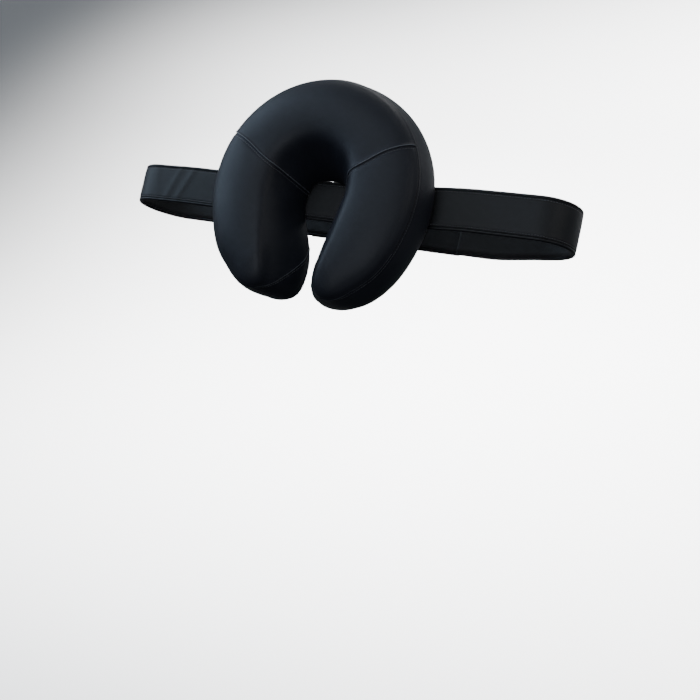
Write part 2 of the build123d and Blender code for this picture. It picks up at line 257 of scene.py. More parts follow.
def smooth_loop(points, at):
    """Points on the smooth closed curve through points, at places counted in control points."""
    n = len(points)
    ahead = np.roll(points, -1, 0)
    chord = np.linalg.norm(ahead - points, axis=1)
    system = np.zeros((n, n))
    target = np.zeros((n, 2))
    for i in range(n):
        before, after = chord[i - 1], chord[i]
        system[i, i - 1] += after
        system[i, i] += 2 * (before + after)
        system[i, (i + 1) % n] += before
        target[i] = 3 * (
            after * (points[i] - points[i - 1]) / before + before * (ahead[i] - points[i]) / after
        )
    slope = np.linalg.solve(system, target)
    at = np.mod(at, n)
    k = np.minimum(at.astype(int), n - 1)
    t = (at - k)[:, None]
    size = chord[k][:, None]
    a, b = points[k], ahead[k]
    ma, mb = slope[k] * size, slope[(k + 1) % n] * size
    return (
        a * (2 * t**3 - 3 * t**2 + 1)
        + b * (3 * t**2 - 2 * t**3)
        + ma * (t**3 - 2 * t**2 + t)
        + mb * (t**3 - t**2)
    )


LEVELS = np.linspace(0, 2, 81)


class Surface:
    """The cushion's surface tabulated over levels, for a list of places round the outline."""

    def __init__(self, places):
        rows = []
        for level in LEVELS:
            points, height = control_points(level)
            xz = smooth_loop(points, places)
            rows.append(np.stack([xz[:, 0], np.full(len(places), -height), xz[:, 1]], 1))
        self.table = np.stack(rows)

    def at(self, column, level):
        spot = np.clip(level, 0, 2) / 2 * (len(LEVELS) - 1)
        k = min(int(spot), len(LEVELS) - 2)
        t = spot - k
        return self.table[k, column] * (1 - t) + self.table[k + 1, column] * t


def seam_level(place):
    """Level of the boxing's top seam: it runs out to the base round the inside of each tip."""
    side = place if place <= HALF else 2 * HALF - place
    spots = (8.1, 8.6, 9.2, 9.7, 10.2, 10.7, 11.2, 11.6)
    values = (1.0, 0.955, 0.82, 0.64, 0.43, 0.24, 0.08, 0.0)
    return float(np.interp(side, spots, values))


def half_places(along, across):
    """Places of the mesh columns on the right half, closer together beside the panel seam."""
    near = np.array((0.006, 0.014, 0.022, 0.03, 0.04, 0.052, 0.07, 0.1))
    first = np.linspace(0, SEAM_OUT - NEAR_SEAM, along // 3)
    second = np.linspace(SEAM_OUT + NEAR_SEAM, TIP_OUT, along - along // 3)
    outer = np.concatenate([first, SEAM_OUT - near[::-1], [SEAM_OUT], SEAM_OUT + near, second])
    inner = np.interp(outer, (0, SEAM_OUT, TIP_OUT), (HALF, SEAM_IN, TIP_IN))
    tip = np.linspace(TIP_OUT, TIP_IN, across + 1)[1:-1]
    return np.concatenate([outer, tip, inner[::-1]]), len(outer)


def graded(steps):
    """0 to 1 in steps that lie closer together near 0."""
    return np.linspace(0, 1, steps + 1) ** GRADING


class Cushion:
    """Grids of the cushion's surface: boxing, top and crown cap, all sharing their edges."""

    def __init__(self, along, across, top_rows, box_rows):
        half, self.outer_count = half_places(along, across)
        self.places = np.concatenate([half, (2 * HALF - half[1:-1])[::-1]])
        self.half_count = len(half)
        self.across = across
        surface = Surface(self.places)
        count = len(self.places)
        top, box = graded(top_rows), graded(box_rows)
        self.levels = np.array([seam_level(p) for p in self.places])
        self.top = np.zeros((count, top_rows + 1, 3))
        self.box = np.zeros((count, box_rows + 1, 3))
        for i in range(count):
            start = self.levels[i]
            for j, share in enumerate(top):
                self.top[i, j] = surface.at(i, start + (2 - start) * share)
            for j, share in enumerate(box):
                self.box[i, j] = surface.at(i, start * (1 - share))
        n = self.outer_count
        self.partner = np.zeros(2 * n - 1, int)
        self.cap_columns = np.concatenate([np.arange(count - n + 1, count), np.arange(0, n)])
        for k, column in enumerate(self.cap_columns):
            if column < n:
                self.partner[k] = self.half_count - 1 - column
            else:
                self.partner[k] = self.half_count - 1 + (count - column)
        self.cap = np.zeros((len(self.cap_columns), across + 1, 3))
        for k, column in enumerate(self.cap_columns):
            a, b = self.top[column, -1], self.top[self.partner[k], -1]
            room = min(1.0, np.linalg.norm(a - b) / DOME_SPAN)
            for c in range(across + 1):
                t = c / across
                self.cap[k, c] = a * (1 - t) + b * t
                self.cap[k, c, 1] -= DOME * room * math.sin(math.pi * t) ** 2
        self.index()

    def index(self):
        """Vertex numbers of every grid point, shared where grids meet."""
        count, rows = self.top.shape[:2]
        self.top_id = np.arange(count * rows).reshape(count, rows)
        self.points = [p for column in self.top for p in column]
        box_rows = self.box.shape[1]
        self.box_id = np.zeros((count, box_rows), int)
        for i in range(count):
            self.box_id[i, 0] = self.top_id[i, 0]
            for j in range(1, box_rows):
                if self.levels[i] <= 0:
                    self.box_id[i, j] = self.top_id[i, 0]
                else:
                    self.box_id[i, j] = len(self.points)
                    self.points.append(self.box[i, j])
        spans, cross = self.cap.shape[:2]
        self.cap_id = np.zeros((spans, cross), int)
        tips = {
            0: np.arange(self.cap_columns[0], self.partner[0] - 1, -1),
            spans - 1: np.arange(self.cap_columns[-1], self.partner[-1] + 1),
        }
        for k in range(spans):
            for c in range(cross):
                if k in tips:
                    self.cap_id[k, c] = self.top_id[tips[k][c], -1]
                elif c == 0:
                    self.cap_id[k, c] = self.top_id[self.cap_columns[k], -1]
                elif c == cross - 1:
                    self.cap_id[k, c] = self.top_id[self.partner[k], -1]
                else:
                    self.cap_id[k, c] = len(self.points)
                    self.points.append(self.cap[k, c])
        self.points = np.array(self.points)

    def panel_of(self, place):
        side = place if place <= HALF else 2 * HALF - place
        if side < SEAM_OUT or side > SEAM_IN:
            return "forehead"
        return "right" if place <= HALF else "left"

    def faces(self):
        """Quads by panel, facing outwards."""
        found = {"forehead": [], "left": [], "right": [], "boxing": []}
        count, rows = self.top_id.shape
        for i in range(count):
            after = (i + 1) % count
            middle = (self.places[i] + (self.places[after] if after else 2 * HALF)) / 2
            panel = self.panel_of(middle)
            for j in range(rows - 1):
                here, there = self.top_id[i], self.top_id[after]
                found[panel].append((here[j], here[j + 1], there[j + 1], there[j]))
            for j in range(self.box_id.shape[1] - 1):
                here, there = self.box_id[i], self.box_id[after]
                quad = (there[j], there[j + 1], here[j + 1], here[j])
                corners = tuple(dict.fromkeys(quad))
                if len(corners) > 2:
                    found["boxing"].append(corners)
        for k in range(len(self.cap_id) - 1):
            first, second = self.places[self.cap_columns[k]], self.places[self.cap_columns[k + 1]]
            if second == 0 and first > HALF:
                second = 2 * HALF
            panel = self.panel_of((first + second) / 2)
            for c in range(self.cap_id.shape[1] - 1):
                here, there = self.cap_id[k], self.cap_id[k + 1]
                found[panel].append((here[c], here[c + 1], there[c + 1], there[c]))
        return found


def mesh_object(name, points, faces, finish):
    """Smooth mesh object from points in mm and faces, keeping only the points used."""
    used = sorted({v for face in faces for v in face})
    number = {v: i for i, v in enumerate(used)}
    mesh = bpy.data.meshes.new(name)
    places = [Vector(points[v]) * MM for v in used]
    mesh.from_pydata(places, [], [[number[v] for v in face] for face in faces])
    mesh.validate()
    mesh.update()
    mesh.polygons.foreach_set("use_smooth", [True] * len(mesh.polygons))
    made = bpy.data.objects.new(name, mesh)
    bpy.context.scene.collection.objects.link(made)
    mesh.materials.append(finish)
    return made


def point_normals(points, faces):
    """Outward normal at every point, from the faces round it."""
    total = np.zeros_like(points)
    for face in faces:
        a, b, c = points[face[0]], points[face[1]], points[face[2]]
        d = points[face[3]] if len(face) > 3 else a
        normal = np.cross(c - a, d - b) if len(face) > 3 else np.cross(b - a, c - a)
        for v in face:
            total[v] += normal
    size = np.linalg.norm(total, axis=1, keepdims=True)
    return total / np.maximum(size, 1e-9)


# ------------------------------------------------------------ stuffing, mm

VOXEL = 4.5
PRESSURE = 4.0
LAST_FRAME = 20
PIN_ABOVE_BASE = 4.0
PIN_REACH = 4.5
SWELL_CAP = 4.5
COVER_OUT = 2.1
CLEAR_OF_FOAM = 0.4
HEM_LOW = BASE_W + 2
HEM_TOP = 18.0
SEARCH = 6.0


def joined_foam():
    """The two foams as one closed mesh, without the faces where they meet."""
    foam = bmesh.new()
    for name in ("support_foam", "comfort_foam"):
        half = nodes[name].data.copy()
        half.transform(nodes[name].matrix_world)
        foam.from_mesh(half)
        bpy.data.meshes.remove(half)
    meeting = -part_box("support_foam")[0].y
    inside = [f for f in foam.faces if all(abs(v.co.y + meeting) < 1e-5 for v in f.verts)]
    bmesh.ops.delete(foam, geom=inside, context="FACES")
    bmesh.ops.remove_doubles(foam, verts=foam.verts, dist=1e-5)
    mesh = bpy.data.meshes.new("stuffing_study")
    foam.to_mesh(mesh)
    foam.free()
    made = bpy.data.objects.new("stuffing_study", mesh)
    bpy.context.scene.collection.objects.link(made)
    return made


def baked(thing):
    """A new mesh with the object's modifiers applied."""
    ready = thing.evaluated_get(bpy.context.evaluated_depsgraph_get())
    return bpy.data.meshes.new_from_object(ready)


def stuffed_body(seam_points):
    """The foam remeshed and blown up as cloth held at base and seams, the move capped and smoothed."""
    body = joined_foam()
    voxels = body.modifiers.new("voxels", "REMESH")
    voxels.mode = "VOXEL"
    voxels.voxel_size = VOXEL * MM
    body.data, old = baked(body), body.data
    bpy.data.meshes.remove(old)
    body.modifiers.clear()
    start = np.array([v.co for v in body.data.vertices])
    seams = KDTree(len(seam_points))
    for i, point in enumerate(seam_points):
        seams.insert(Vector(point) * MM, i)
    seams.balance()
    held = [
        i
        for i, co in enumerate(start)
        if co[1] > -(BASE_W + PIN_ABOVE_BASE) * MM or seams.find(co)[2] < PIN_REACH * MM
    ]
    group = body.vertex_groups.new(name="seams")
    group.add(held, 1.0, "REPLACE")
    cloth_step = body.modifiers.new("stuffing", "CLOTH")
    cloth_step.settings.quality = 5
    cloth_step.settings.mass = 0.3
    cloth_step.settings.tension_stiffness = 4
    cloth_step.settings.compression_stiffness = 4
    cloth_step.settings.shear_stiffness = 2
    cloth_step.settings.bending_stiffness = 0.5
    cloth_step.settings.use_pressure = True
    cloth_step.settings.uniform_pressure_force = PRESSURE
    cloth_step.settings.vertex_group_mass = "seams"
    cloth_step.settings.effector_weights.gravity = 0
    cloth_step.point_cache.frame_start = 1
    cloth_step.point_cache.frame_end = LAST_FRAME
    for number in range(1, LAST_FRAME + 1):
        bpy.context.scene.frame_set(number)
    moved = baked(body)
    bpy.context.scene.frame_set(1)
    body.modifiers.clear()
    move = np.array([v.co for v in moved.vertices]) - start
    size = np.linalg.norm(move, axis=1, keepdims=True)
    move *= np.minimum(1, SWELL_CAP * MM / np.maximum(size, 1e-9))
    body.data.vertices.foreach_set("co", (start + move).ravel())
    bpy.data.meshes.remove(moved)
    ease = body.modifiers.new("ease", "SMOOTH")
    ease.factor = 0.5
    ease.iterations = 6
    finer = body.modifiers.new("finer", "SUBSURF")
    finer.levels = 1
    final = baked(body)
    tree = BVHTree.FromPolygons(
        [v.co for v in final.vertices], [list(p.vertices) for p in final.polygons]
    )
    bpy.data.objects.remove(body)
    bpy.data.meshes.remove(final)
    return tree


def outermost(tree, point, normal):
    """Where the surface is along the normal at a point, in mm, or None."""
    start = Vector(point + normal * SEARCH) * MM
    hit = tree.ray_cast(start, Vector(-normal), 3 * SEARCH * MM)[0]
    return None if hit is None else np.array(hit) / MM


shape = Cushion(along=150, across=16, top_rows=30, box_rows=20)
count = len(shape.places)
faces = shape.faces()
every_face = sum(faces.values(), [])
normals = point_normals(shape.points, every_face)
side_places = np.where(shape.places <= HALF, shape.places, 2 * HALF - shape.places)
panel_columns = np.where((abs(side_places - SEAM_OUT) < 0.01) | (abs(side_places - SEAM_IN) < 0.01))[0]
seam_ids = set(shape.top_id[:, 0].tolist()) | set(shape.top_id[panel_columns].ravel().tolist())
for k, column in enumerate(shape.cap_columns):
    if column in panel_columns:
        seam_ids |= set(shape.cap_id[k].tolist())
body = stuffed_body([shape.points[i] for i in sorted(seam_ids)])

foam_mesh = joined_foam()
foam_tree = BVHTree.FromPolygons(
    [v.co for v in foam_mesh.data.vertices], [list(p.vertices) for p in foam_mesh.data.polygons]
)
bpy.data.objects.remove(foam_mesh)
points = shape.points.copy()
for i, point in enumerate(shape.points):
    height = -point[1]
    if height < HEM_LOW:
        continue
    hit = outermost(body, point, normals[i])
    core = outermost(foam_tree, point, normals[i])
    if hit is None or core is None:
        continue
    over = float(np.dot(hit - core, normals[i]))
    full = core + normals[i] * (max(over, 0.0) + COVER_OUT)
    share = min(1.0, (height - HEM_LOW) / (HEM_TOP - HEM_LOW))
    share = share * share * (3 - 2 * share)
    points[i] = point * (1 - share) + full * share


def bell(distance, middle, width):
    return np.exp(-(((distance - middle) / width) ** 2))


def runs(points, axis):
    """Distance along a grid of points from its first row or column."""
    step = np.linalg.norm(np.diff(points, axis=axis), axis=2)
    total = np.cumsum(step, axis=axis)
    pad = np.zeros_like(np.take(total, [0], axis=axis))
    return np.concatenate([pad, total], axis=axis)


EASE_STEPS = 160
EASE_HELD = 3.0
EASE_SPREAD = 7.0
EASE_EDGE = 12.0
TIP_FADE = 14.0


def eased_strand(line):
    """A line of points smoothed along its length, and left as it is at both ends."""
    along = np.concatenate([[0], np.cumsum(np.linalg.norm(np.diff(line, axis=0), axis=1))])
    even = np.linspace(0, along[-1], EASE_STEPS)
    dense = np.array([np.interp(even, along, line[:, k]) for k in range(3)]).T
    gap = (even[:, None] - even[None, :]) / EASE_SPREAD
    weight = np.exp(-0.5 * gap * gap)
    soft = weight @ dense / weight.sum(1, keepdims=True)
    rim = np.minimum(along, along[-1] - along)
    share = np.clip((rim - EASE_HELD) / EASE_EDGE, 0, 1)[:, None]
    soft = np.array([np.interp(along, even, soft[:, k]) for k in range(3)]).T
    return line + (soft - line) * share


last_span = len(shape.cap_columns) - 1
for k in range(1, last_span):
    ids = np.concatenate(
        [
            shape.top_id[shape.cap_columns[k]],
            shape.cap_id[k, 1:-1],
            shape.top_id[shape.partner[k]][::-1],
        ]
    )
    fade = min(1.0, min(k, last_span - k) / TIP_FADE)
    points[ids] += (eased_strand(points[ids]) - points[ids]) * fade

# ------------------------------------------------------------ seams, mm

SEAM_DEPTH = 1.5
TOPSTITCH = 5.0
BOXING_STITCH = 4.6
SEAM_REACH = 13
EDGE_SIDE = 11.0


def panel_relief(distance):
    """Height beside a panel seam: the forehead's turned edge stands over the cheek's sunk side."""
    if distance < 0:
        return 0.75 * bell(distance, -1.3, 0.9) + 0.2 * bell(distance, -3.5, 2.0)
    sunk = -1.2 * bell(distance, 0.9, 1.0) - 0.7 * bell(distance, 3.6, 2.0)
    return sunk - 0.4 * bell(distance, TOPSTITCH, 0.7)


def column_at(place):
    return int(np.argmin(np.abs(shape.places - place)))


def strands(sign):
    """Rows of points across a panel seam, as (forehead side, cheek side), from outside to inside."""
    steps = range(SEAM_REACH + 1)
    places = [p if sign > 0 else 2 * HALF - p for p in (SEAM_OUT, SEAM_IN)]
    outer, inner = (column_at(p) for p in places)
    spans = shape.cap_columns.tolist().index(outer)
    rows = shape.top_id.shape[1]
    found = []
    ways = (-sign, sign)
    for j in range(rows):
        found.append([[shape.top_id[(outer + way * k) % count, j] for k in steps] for way in ways])
    for c in range(1, shape.across):
        found.append([[shape.cap_id[spans + way * k, c] for k in steps] for way in ways])
    for j in reversed(range(rows)):
        found.append([[shape.top_id[(inner - way * k) % count, j] for k in steps] for way in ways])
    return found


relief = np.zeros(len(points))
top_points, box_points = points[shape.top_id], points[shape.box_id]
top_run, box_run = runs(top_points, 1), runs(box_points, 1)
relief[shape.box_id] = (
    -SEAM_DEPTH * bell(box_run, 0, 1.0)
    + 0.6 * bell(box_run, 2.1, 1.1)
    - 0.5 * bell(box_run, BOXING_STITCH, 0.8)
)
box_left = box_run[:, -1:] - box_run
relief[shape.box_id] += 0.5 * bell(box_left, 0, 3.0)
relief[shape.top_id] = -SEAM_DEPTH * bell(top_run, 0, 1.0) + 0.8 * bell(top_run, 1.9, 0.9)
for sign in (1, -1):
    for sides in strands(sign):
        for side_ids, way in zip(sides, (-1, 1)):
            distance = 0.0
            for last, now in zip(side_ids, side_ids[1:]):
                distance += float(np.linalg.norm(points[now] - points[last]))
                if distance < EDGE_SIDE:
                    relief[now] += panel_relief(way * distance)
        relief[sides[0][0]] -= 0.5
relief = np.maximum(relief, -SEAM_DEPTH)

normals = point_normals(points, every_face)
points = points + normals * relief[:, None]
for i, point in enumerate(points):
    core = outermost(foam_tree, point, normals[i]) if -point[1] > BASE_W + 4 else None
    if core is not None:
        short = CLEAR_OF_FOAM - float(np.dot(point - core, normals[i]))
        points[i] = point + normals[i] * max(0.0, short)
normals = point_normals(points, every_face)

COVER_T = 1.2
PANELS = {
    "forehead": ("forehead_cover", "forehead_panel"),
    "left": ("cheek_cover_left", "cheek_panel_left"),
    "right": ("cheek_cover_right", "cheek_panel_right"),
    "boxing": ("boxing_cover", "boxing_band"),
}
for key, (name, cad) in PANELS.items():
    cover = mesh_object(name, points, faces[key], VINYL)
    skin = cover.modifiers.new("skin", "SOLIDIFY")
    skin.thickness = COVER_T * MM
    skin.offset = -1
    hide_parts(cad)
    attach(cover, "cushion")

# ------------------------------------------------------------ stitching, mm

STITCH = 2.7
STITCH_PITCH = 3.9
THREAD_R = 0.4
THREAD_LIFT = 0.12
# a stitch's rings, as (place along it, share of the radius, depth below the thread's height)
THREAD_RINGS = ((-0.5, 0.35, 0.35), (-0.36, 0.95, 0.05), (0.36, 0.95, 0.05), (0.5, 0.35, 0.35))


def even_places(line, pitch):
    """Places along a polyline at an even pitch, as (index, share)."""
    steps = np.linalg.norm(np.diff(line, axis=0), axis=1)
    along = np.concatenate([[0], np.cumsum(steps)])
    wanted = np.arange(pitch / 2, along[-1] - pitch / 2, pitch)
    index = np.clip(np.searchsorted(along, wanted) - 1, 0, len(steps) - 1)
    return index, (wanted - along[index]) / steps[index]


def stitched(name, lines, body):
    """Rows of separate stitches, each a small thread with tapered ends dipping into the cover."""
    verts, quads = [], []
    for line, ups in lines:
        line, ups = np.array(line), np.array(ups)
        index, share = even_places(line, STITCH_PITCH)
        for i, t in zip(index, share):
            middle = line[i] * (1 - t) + line[i + 1] * t
            along = line[i + 1] - line[i]
            along = along / np.linalg.norm(along)
            up = ups[i] - along * np.dot(ups[i], along)
            up = up / np.linalg.norm(up)
            side = np.cross(along, up)
            base = len(verts)
            for at, size, sink in THREAD_RINGS:
                centre = middle + along * at * STITCH + up * (THREAD_LIFT - sink)
                for k in range(6):
                    angle = math.pi * k / 3
                    ring = side * math.cos(angle) + up * math.sin(angle)
                    verts.append(centre + ring * THREAD_R * size)
            for ring in range(3):
                for k in range(6):
                    first, second = base + 6 * ring + k, base + 6 * ring + (k + 1) % 6
                    quads.append((first, second, second + 6, first + 6))
            quads.append(tuple(base + k for k in reversed(range(6))))
            quads.append(tuple(base + 18 + k for k in range(6)))
    made = mesh_object(name, verts, quads, THREAD)
    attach(made, body)
    return made


def at_distance(ids, wanted):
    """Point and normal at a distance along a row of points."""
    line = points[ids]
    along = np.concatenate([[0], np.cumsum(np.linalg.norm(np.diff(line, axis=0), axis=1))])
    where = [np.interp(wanted, along, line[:, k]) for k in range(3)]
    up = [np.interp(wanted, along, normals[ids][:, k]) for k in range(3)]
    return np.array(where), np.array(up) / np.linalg.norm(up)


for sign, name in ((1, "topstitch_right"), (-1, "topstitch_left")):
    row = [at_distance(sides[1], TOPSTITCH) for sides in strands(sign)]
    stitched(name, [list(zip(*row))], "cushion")

EDGE_IN = 0.7
EDGE_R = 0.8
EDGE_LIFT = 0.35
# Size and lift of the near-black roll that paints the shade in the outer seam's groove.
SHADOW_ROLL_R = 1.15
SHADOW_ROLL_LIFT = 0.75
TIP_EDGE_IN = 1.6
TIP_EDGE_LIFT = 0.15
TIP_EDGE_FROM = 5.2


def fine_roll(name, line, ups, radius, height, finish):
    """A fine roll along a seam, its middle at a height over the cover."""
    verts, quads = [], []
    for k, (at, up) in enumerate(zip(line, ups)):
        along = line[min(k + 1, len(line) - 1)] - line[max(k - 1, 0)]
        along = along / np.linalg.norm(along)
        side = np.cross(along, up)
        side = side / np.linalg.norm(side)
        for turn in range(8):
            angle = math.pi * turn / 4
            ring = side * math.cos(angle) + up * math.sin(angle)
            verts.append(at + up * height + ring * radius)
    for k in range(len(line) - 1):
        for turn in range(8):
            after = (turn + 1) % 8
            quads.append((8 * k + turn, 8 * k + after, 8 * k + after + 8, 8 * k + turn + 8))
    quads.append(tuple(reversed(range(8))))
    quads.append(tuple(8 * (len(line) - 1) + turn for turn in range(8)))
    made = mesh_object(name, verts, quads, finish)
    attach(made, "cushion")


# The fine rolls beside the panel seams carry the lighter vinyl: painted highlight on the folded edges.
for sign, name in ((1, "seam_edge_right"), (-1, "seam_edge_left")):
    row = [at_distance(sides[0], EDGE_IN) for sides in strands(sign)][1:-1]
    fine_roll(name, *zip(*row), EDGE_R, EDGE_LIFT, EDGE_HIGHLIGHT_VINYL)
sewn = [i for i in range(count) if shape.levels[i] > 0.04]
gap_at = max(range(len(sewn) - 1), key=lambda k: sewn[k + 1] - sewn[k])
ring = [shape.top_id[i, 0] for i in sewn[gap_at + 1 :] + sewn[: gap_at + 1]]
# A near-black roll along the outer seam: painted shade in its groove.
fine_roll("seam_shadow_roll_outer", points[ring], normals[ring], SHADOW_ROLL_R, SHADOW_ROLL_LIFT, SEAM_SHADOW_VINYL)
# The fine rolls round the tips' seams carry the lighter vinyl too: painted highlight.
for name, columns in (
    ("seam_edge_tip_right", [i for i in sewn if TIP_EDGE_FROM < shape.places[i] < HALF]),
    ("seam_edge_tip_left", [i for i in sewn if TIP_EDGE_FROM < 2 * HALF - shape.places[i] < HALF]),
):
    row = [at_distance(shape.top_id[i], TIP_EDGE_IN) for i in columns]
    fine_roll(name, *zip(*row), EDGE_R, TIP_EDGE_LIFT, EDGE_HIGHLIGHT_VINYL)

boxing_rows = []
row = []
for i in list(range(count)) + [0]:
    if box_run[i, -1] > 3 * BOXING_STITCH:
        row.append(at_distance(shape.box_id[i], BOXING_STITCH))
    else:
        if len(row) > 2:
            boxing_rows.append(list(zip(*row)))
        row = []
boxing_rows.append(list(zip(*row)))
stitched("topstitch_boxing", boxing_rows, "cushion")

# ------------------------------------------------------------ strap, mm

LINING_T = 1.2
STRAP_T = 5.0
FACE_IN = 3.8
LAYER_Z = 26.0
WELT_R = 2.5
WELT_Z = LAYER_Z + WELT_R
STITCH_Z = 24.2
PILLOW = 0.45
FLAP_PILLOW = 0.35
SWEEP_STEP = 4.0
RISE = 10.0
# folds across the strap, as (x, lean, height)
STRAP_FOLDS = ((-262, 0.45, 0.8), (-286, 0.38, 0.65), (-318, -0.2, 0.3), (262, -0.3, 0.35))

lining_low, lining_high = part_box("strap_lining")
edge_r = (lining_high.y - lining_low.y) / (2 * MM) - LINING_T
edge_left = lining_low.x / MM + LINING_T + edge_r
edge_right = lining_high.x / MM - LINING_T - edge_r
depth = 2 * edge_r
under_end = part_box("strap_end_binding")[0].x / MM
OVER_END = 180.0


def loop_place(t):
    """Place on the backrest's surface and its outward direction, t mm from the underlap's end."""

    def on_end(middle, angle):
        side, out = math.cos(angle), math.sin(angle)
        return middle + edge_r * side, edge_r + edge_r * out, side, out

    rear = under_end - edge_left
    if t < rear:
        return under_end - t, depth, 0.0, 1.0
    t -= rear
    arc = math.pi * edge_r
    if t < arc:
        return on_end(edge_left, math.pi / 2 + t / edge_r)
    t -= arc
    if t < edge_right - edge_left:
        return edge_left + t, 0.0, 0.0, -1.0
    t -= edge_right - edge_left
    if t < arc:
        return on_end(edge_right, -math.pi / 2 + t / edge_r)
    t -= arc
    return edge_right - t, depth, 0.0, 1.0


front_run, rear_left, rear_right = edge_right - edge_left, under_end - edge_left, edge_right - OVER_END
LOOP_LENGTH = rear_left + 2 * math.pi * edge_r + front_run + rear_right


def eased(value, start, end):
    share = min(1.0, max(0.0, (value - start) / (end - start)))
    return share * share * (3 - 2 * share)


def loop_rise(x, y):
    """How far the strap has crept up: most at its right end."""
    if y < edge_r:
        return RISE * eased(x, 30, 230) + 1.2 * math.exp(-(((x + 250) / 60) ** 2))
    return RISE * eased(x, 228, 330)


def loop_crease(x, y, z):
    """Soft folds across the strap: two slanting ones left of the cushion, faint ones elsewhere."""
    if y > edge_r:
        return 0.0
    folds = 0.0
    for middle, lean, size in STRAP_FOLDS:
        folds += size * math.exp(-(((x - middle - lean * z) / 5.0) ** 2))
    clear = eased(abs(x), 178, 215)
    return folds * clear + 0.12 * math.sin(x / 23.0) * math.sin(z / 17.0 + 0.6) + 0.1


def swept(name, section, place, length, rise, crease, finish):
    """Closed cross-section of (height, z) swept along a run, with flat ends."""
    stops = np.linspace(0, length, int(length / SWEEP_STEP) + 1)
    verts, quads = [], []
    size = len(section)
    for t in stops:
        x, y, nx, ny = place(t)
        up = rise(x, y) if rise else 0.0
        for height, z in section:
            lift = crease(x, y, z) * min(1.0, height / STRAP_T)
            verts.append((x + nx * (height + lift), y + ny * (height + lift), z + up))
    for i in range(len(stops) - 1):
        for k in range(size):
            after = (k + 1) % size
            quads.append((i * size + k, i * size + after, (i + 1) * size + after, (i + 1) * size + k))
    quads.append(tuple(range(size - 1, -1, -1)))
    quads.append(tuple((len(stops) - 1) * size + k for k in range(size)))
    made = mesh_object(name, np.array(verts), quads, finish)
    bm = bmesh.new()
    bm.from_mesh(made.data)
    bmesh.ops.recalc_face_normals(bm, faces=bm.faces)
    bm.to_mesh(made.data)
    bm.free()
    return made


def face_top(z, top, reach, pillow):
    """Height of a padded face: a low pillow between two sunk stitch rows."""
    middle = pillow * math.sqrt(max(0.0, 1 - (z / reach) ** 2))
    dip = 0.55 * math.exp(-(((abs(z) - STITCH_Z) / 0.7) ** 2))
    return top + middle - dip


def face_section(low, top, reach, pillow):
    edge = np.linspace(22, reach, 9)
    across = np.concatenate([-edge[::-1], np.linspace(-20, 20, 17), edge])
    upper = [(face_top(z, top, reach, pillow), z) for z in across]
    lower = [(low, z) for z in reversed(across[::4])]
    return upper + lower


def layer_section(low, high, reach):
    across = np.linspace(-reach, reach, 9)
    return [(high, z) for z in across] + [(low, z) for z in reversed(across)]


def round_section(height, z, radius, sides=16):
    turn = [2 * math.pi * k / sides for k in range(sides)]
    return [(height + radius * math.cos(a), z + radius * math.sin(a)) for a in turn]


def stand_for(made, cad, body):
    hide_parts(cad)
    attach(made, body)


LOOP_PARTS = (
    (
        "strap_cover",
        face_section(FACE_IN, STRAP_T, LAYER_Z, PILLOW),
        "strap_face",
        "black_vinyl",
        STRAP_VINYL,
    ),
    ("strap_padding_layer", layer_section(LINING_T, FACE_IN, LAYER_Z), "strap_core", "strap_padding", FELT),
    ("strap_backing", layer_section(0.0, LINING_T, LAYER_Z), "strap_lining", "black_webbing", WEBBING),
    (
        "strap_piping_upper",
        round_section(WELT_R, WELT_Z, WELT_R),
        "strap_welt_upper",
        "vinyl_welt",
        WELT_VINYL,
    ),
    (
        "strap_piping_lower",
        round_section(WELT_R, -WELT_Z, WELT_R),
        "strap_welt_lower",
        "vinyl_welt",
        WELT_VINYL,
    ),
)
for name, section, cad, slot_name, finish in LOOP_PARTS:
    made = swept(name, section, loop_place, LOOP_LENGTH, loop_rise, loop_crease, finish)
    stand_for(made, cad, "strap")


def run_row(place, length, z, height, rise, crease):
    """Line of points and directions for a stitch row along a run."""
    line, ups = [], []
    for t in np.arange(2.0, length - 2.0, 2.0):
        x, y, nx, ny = place(t)
        lift = height + crease(x, y, z)
        line.append((x + nx * lift, y + ny * lift, z + (rise(x, y) if rise else 0.0)))
        ups.append((nx, ny, 0.0))
    return line, ups


strap_rows = [
    run_row(loop_place, LOOP_LENGTH, z, face_top(z, STRAP_T, LAYER_Z, PILLOW), loop_rise, loop_crease)
    for z in (STITCH_Z, -STITCH_Z)
]
stitched("strap_stitching", strap_rows, "strap")

# ------------------------------------------------------------ closure flap, mm

flap_low, flap_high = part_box("flap_face")
FLAP_ROOT = flap_high.x / MM
FLAP_LENGTH = (flap_high.x - flap_low.x) / MM
FLAP_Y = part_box("flap_lining")[0].y / MM
FLAP_LAYER = 1.0
FLAP_T = flap_high.y / MM - FLAP_Y
FLAP_WELT_R = FLAP_T / 2


def flap_place(t):
    """Place on the flap's inner side, t mm from its root."""
    return FLAP_ROOT - t, FLAP_Y, 0.0, 1.0


def flap_crease(x, y, z):
    return 0.25 * math.exp(-(((x - 150 - 0.2 * z) / 6.0) ** 2)) + 0.08 * math.sin(x / 19.0)


FLAP_PARTS = (
    (
        "flap_cover",
        face_section(FLAP_T - FLAP_LAYER, FLAP_T, LAYER_Z, FLAP_PILLOW),
        "flap_face",
        "black_vinyl",
        STRAP_VINYL,
    ),
    (
        "flap_padding_layer",
        layer_section(FLAP_LAYER, FLAP_T - FLAP_LAYER, LAYER_Z),
        "flap_core",
        "strap_padding",
        FELT,
    ),
    ("flap_backing", layer_section(0.0, FLAP_LAYER, LAYER_Z), "flap_lining", "black_webbing", WEBBING),
    (
        "flap_piping_upper",
        round_section(FLAP_WELT_R, LAYER_Z + FLAP_WELT_R, FLAP_WELT_R),
        "flap_welt_upper",
        "vinyl_welt",
        WELT_VINYL,
    ),
    (
        "flap_piping_lower",
        round_section(FLAP_WELT_R, -LAYER_Z - FLAP_WELT_R, FLAP_WELT_R),
        "flap_welt_lower",
        "vinyl_welt",
        WELT_VINYL,
    ),
)
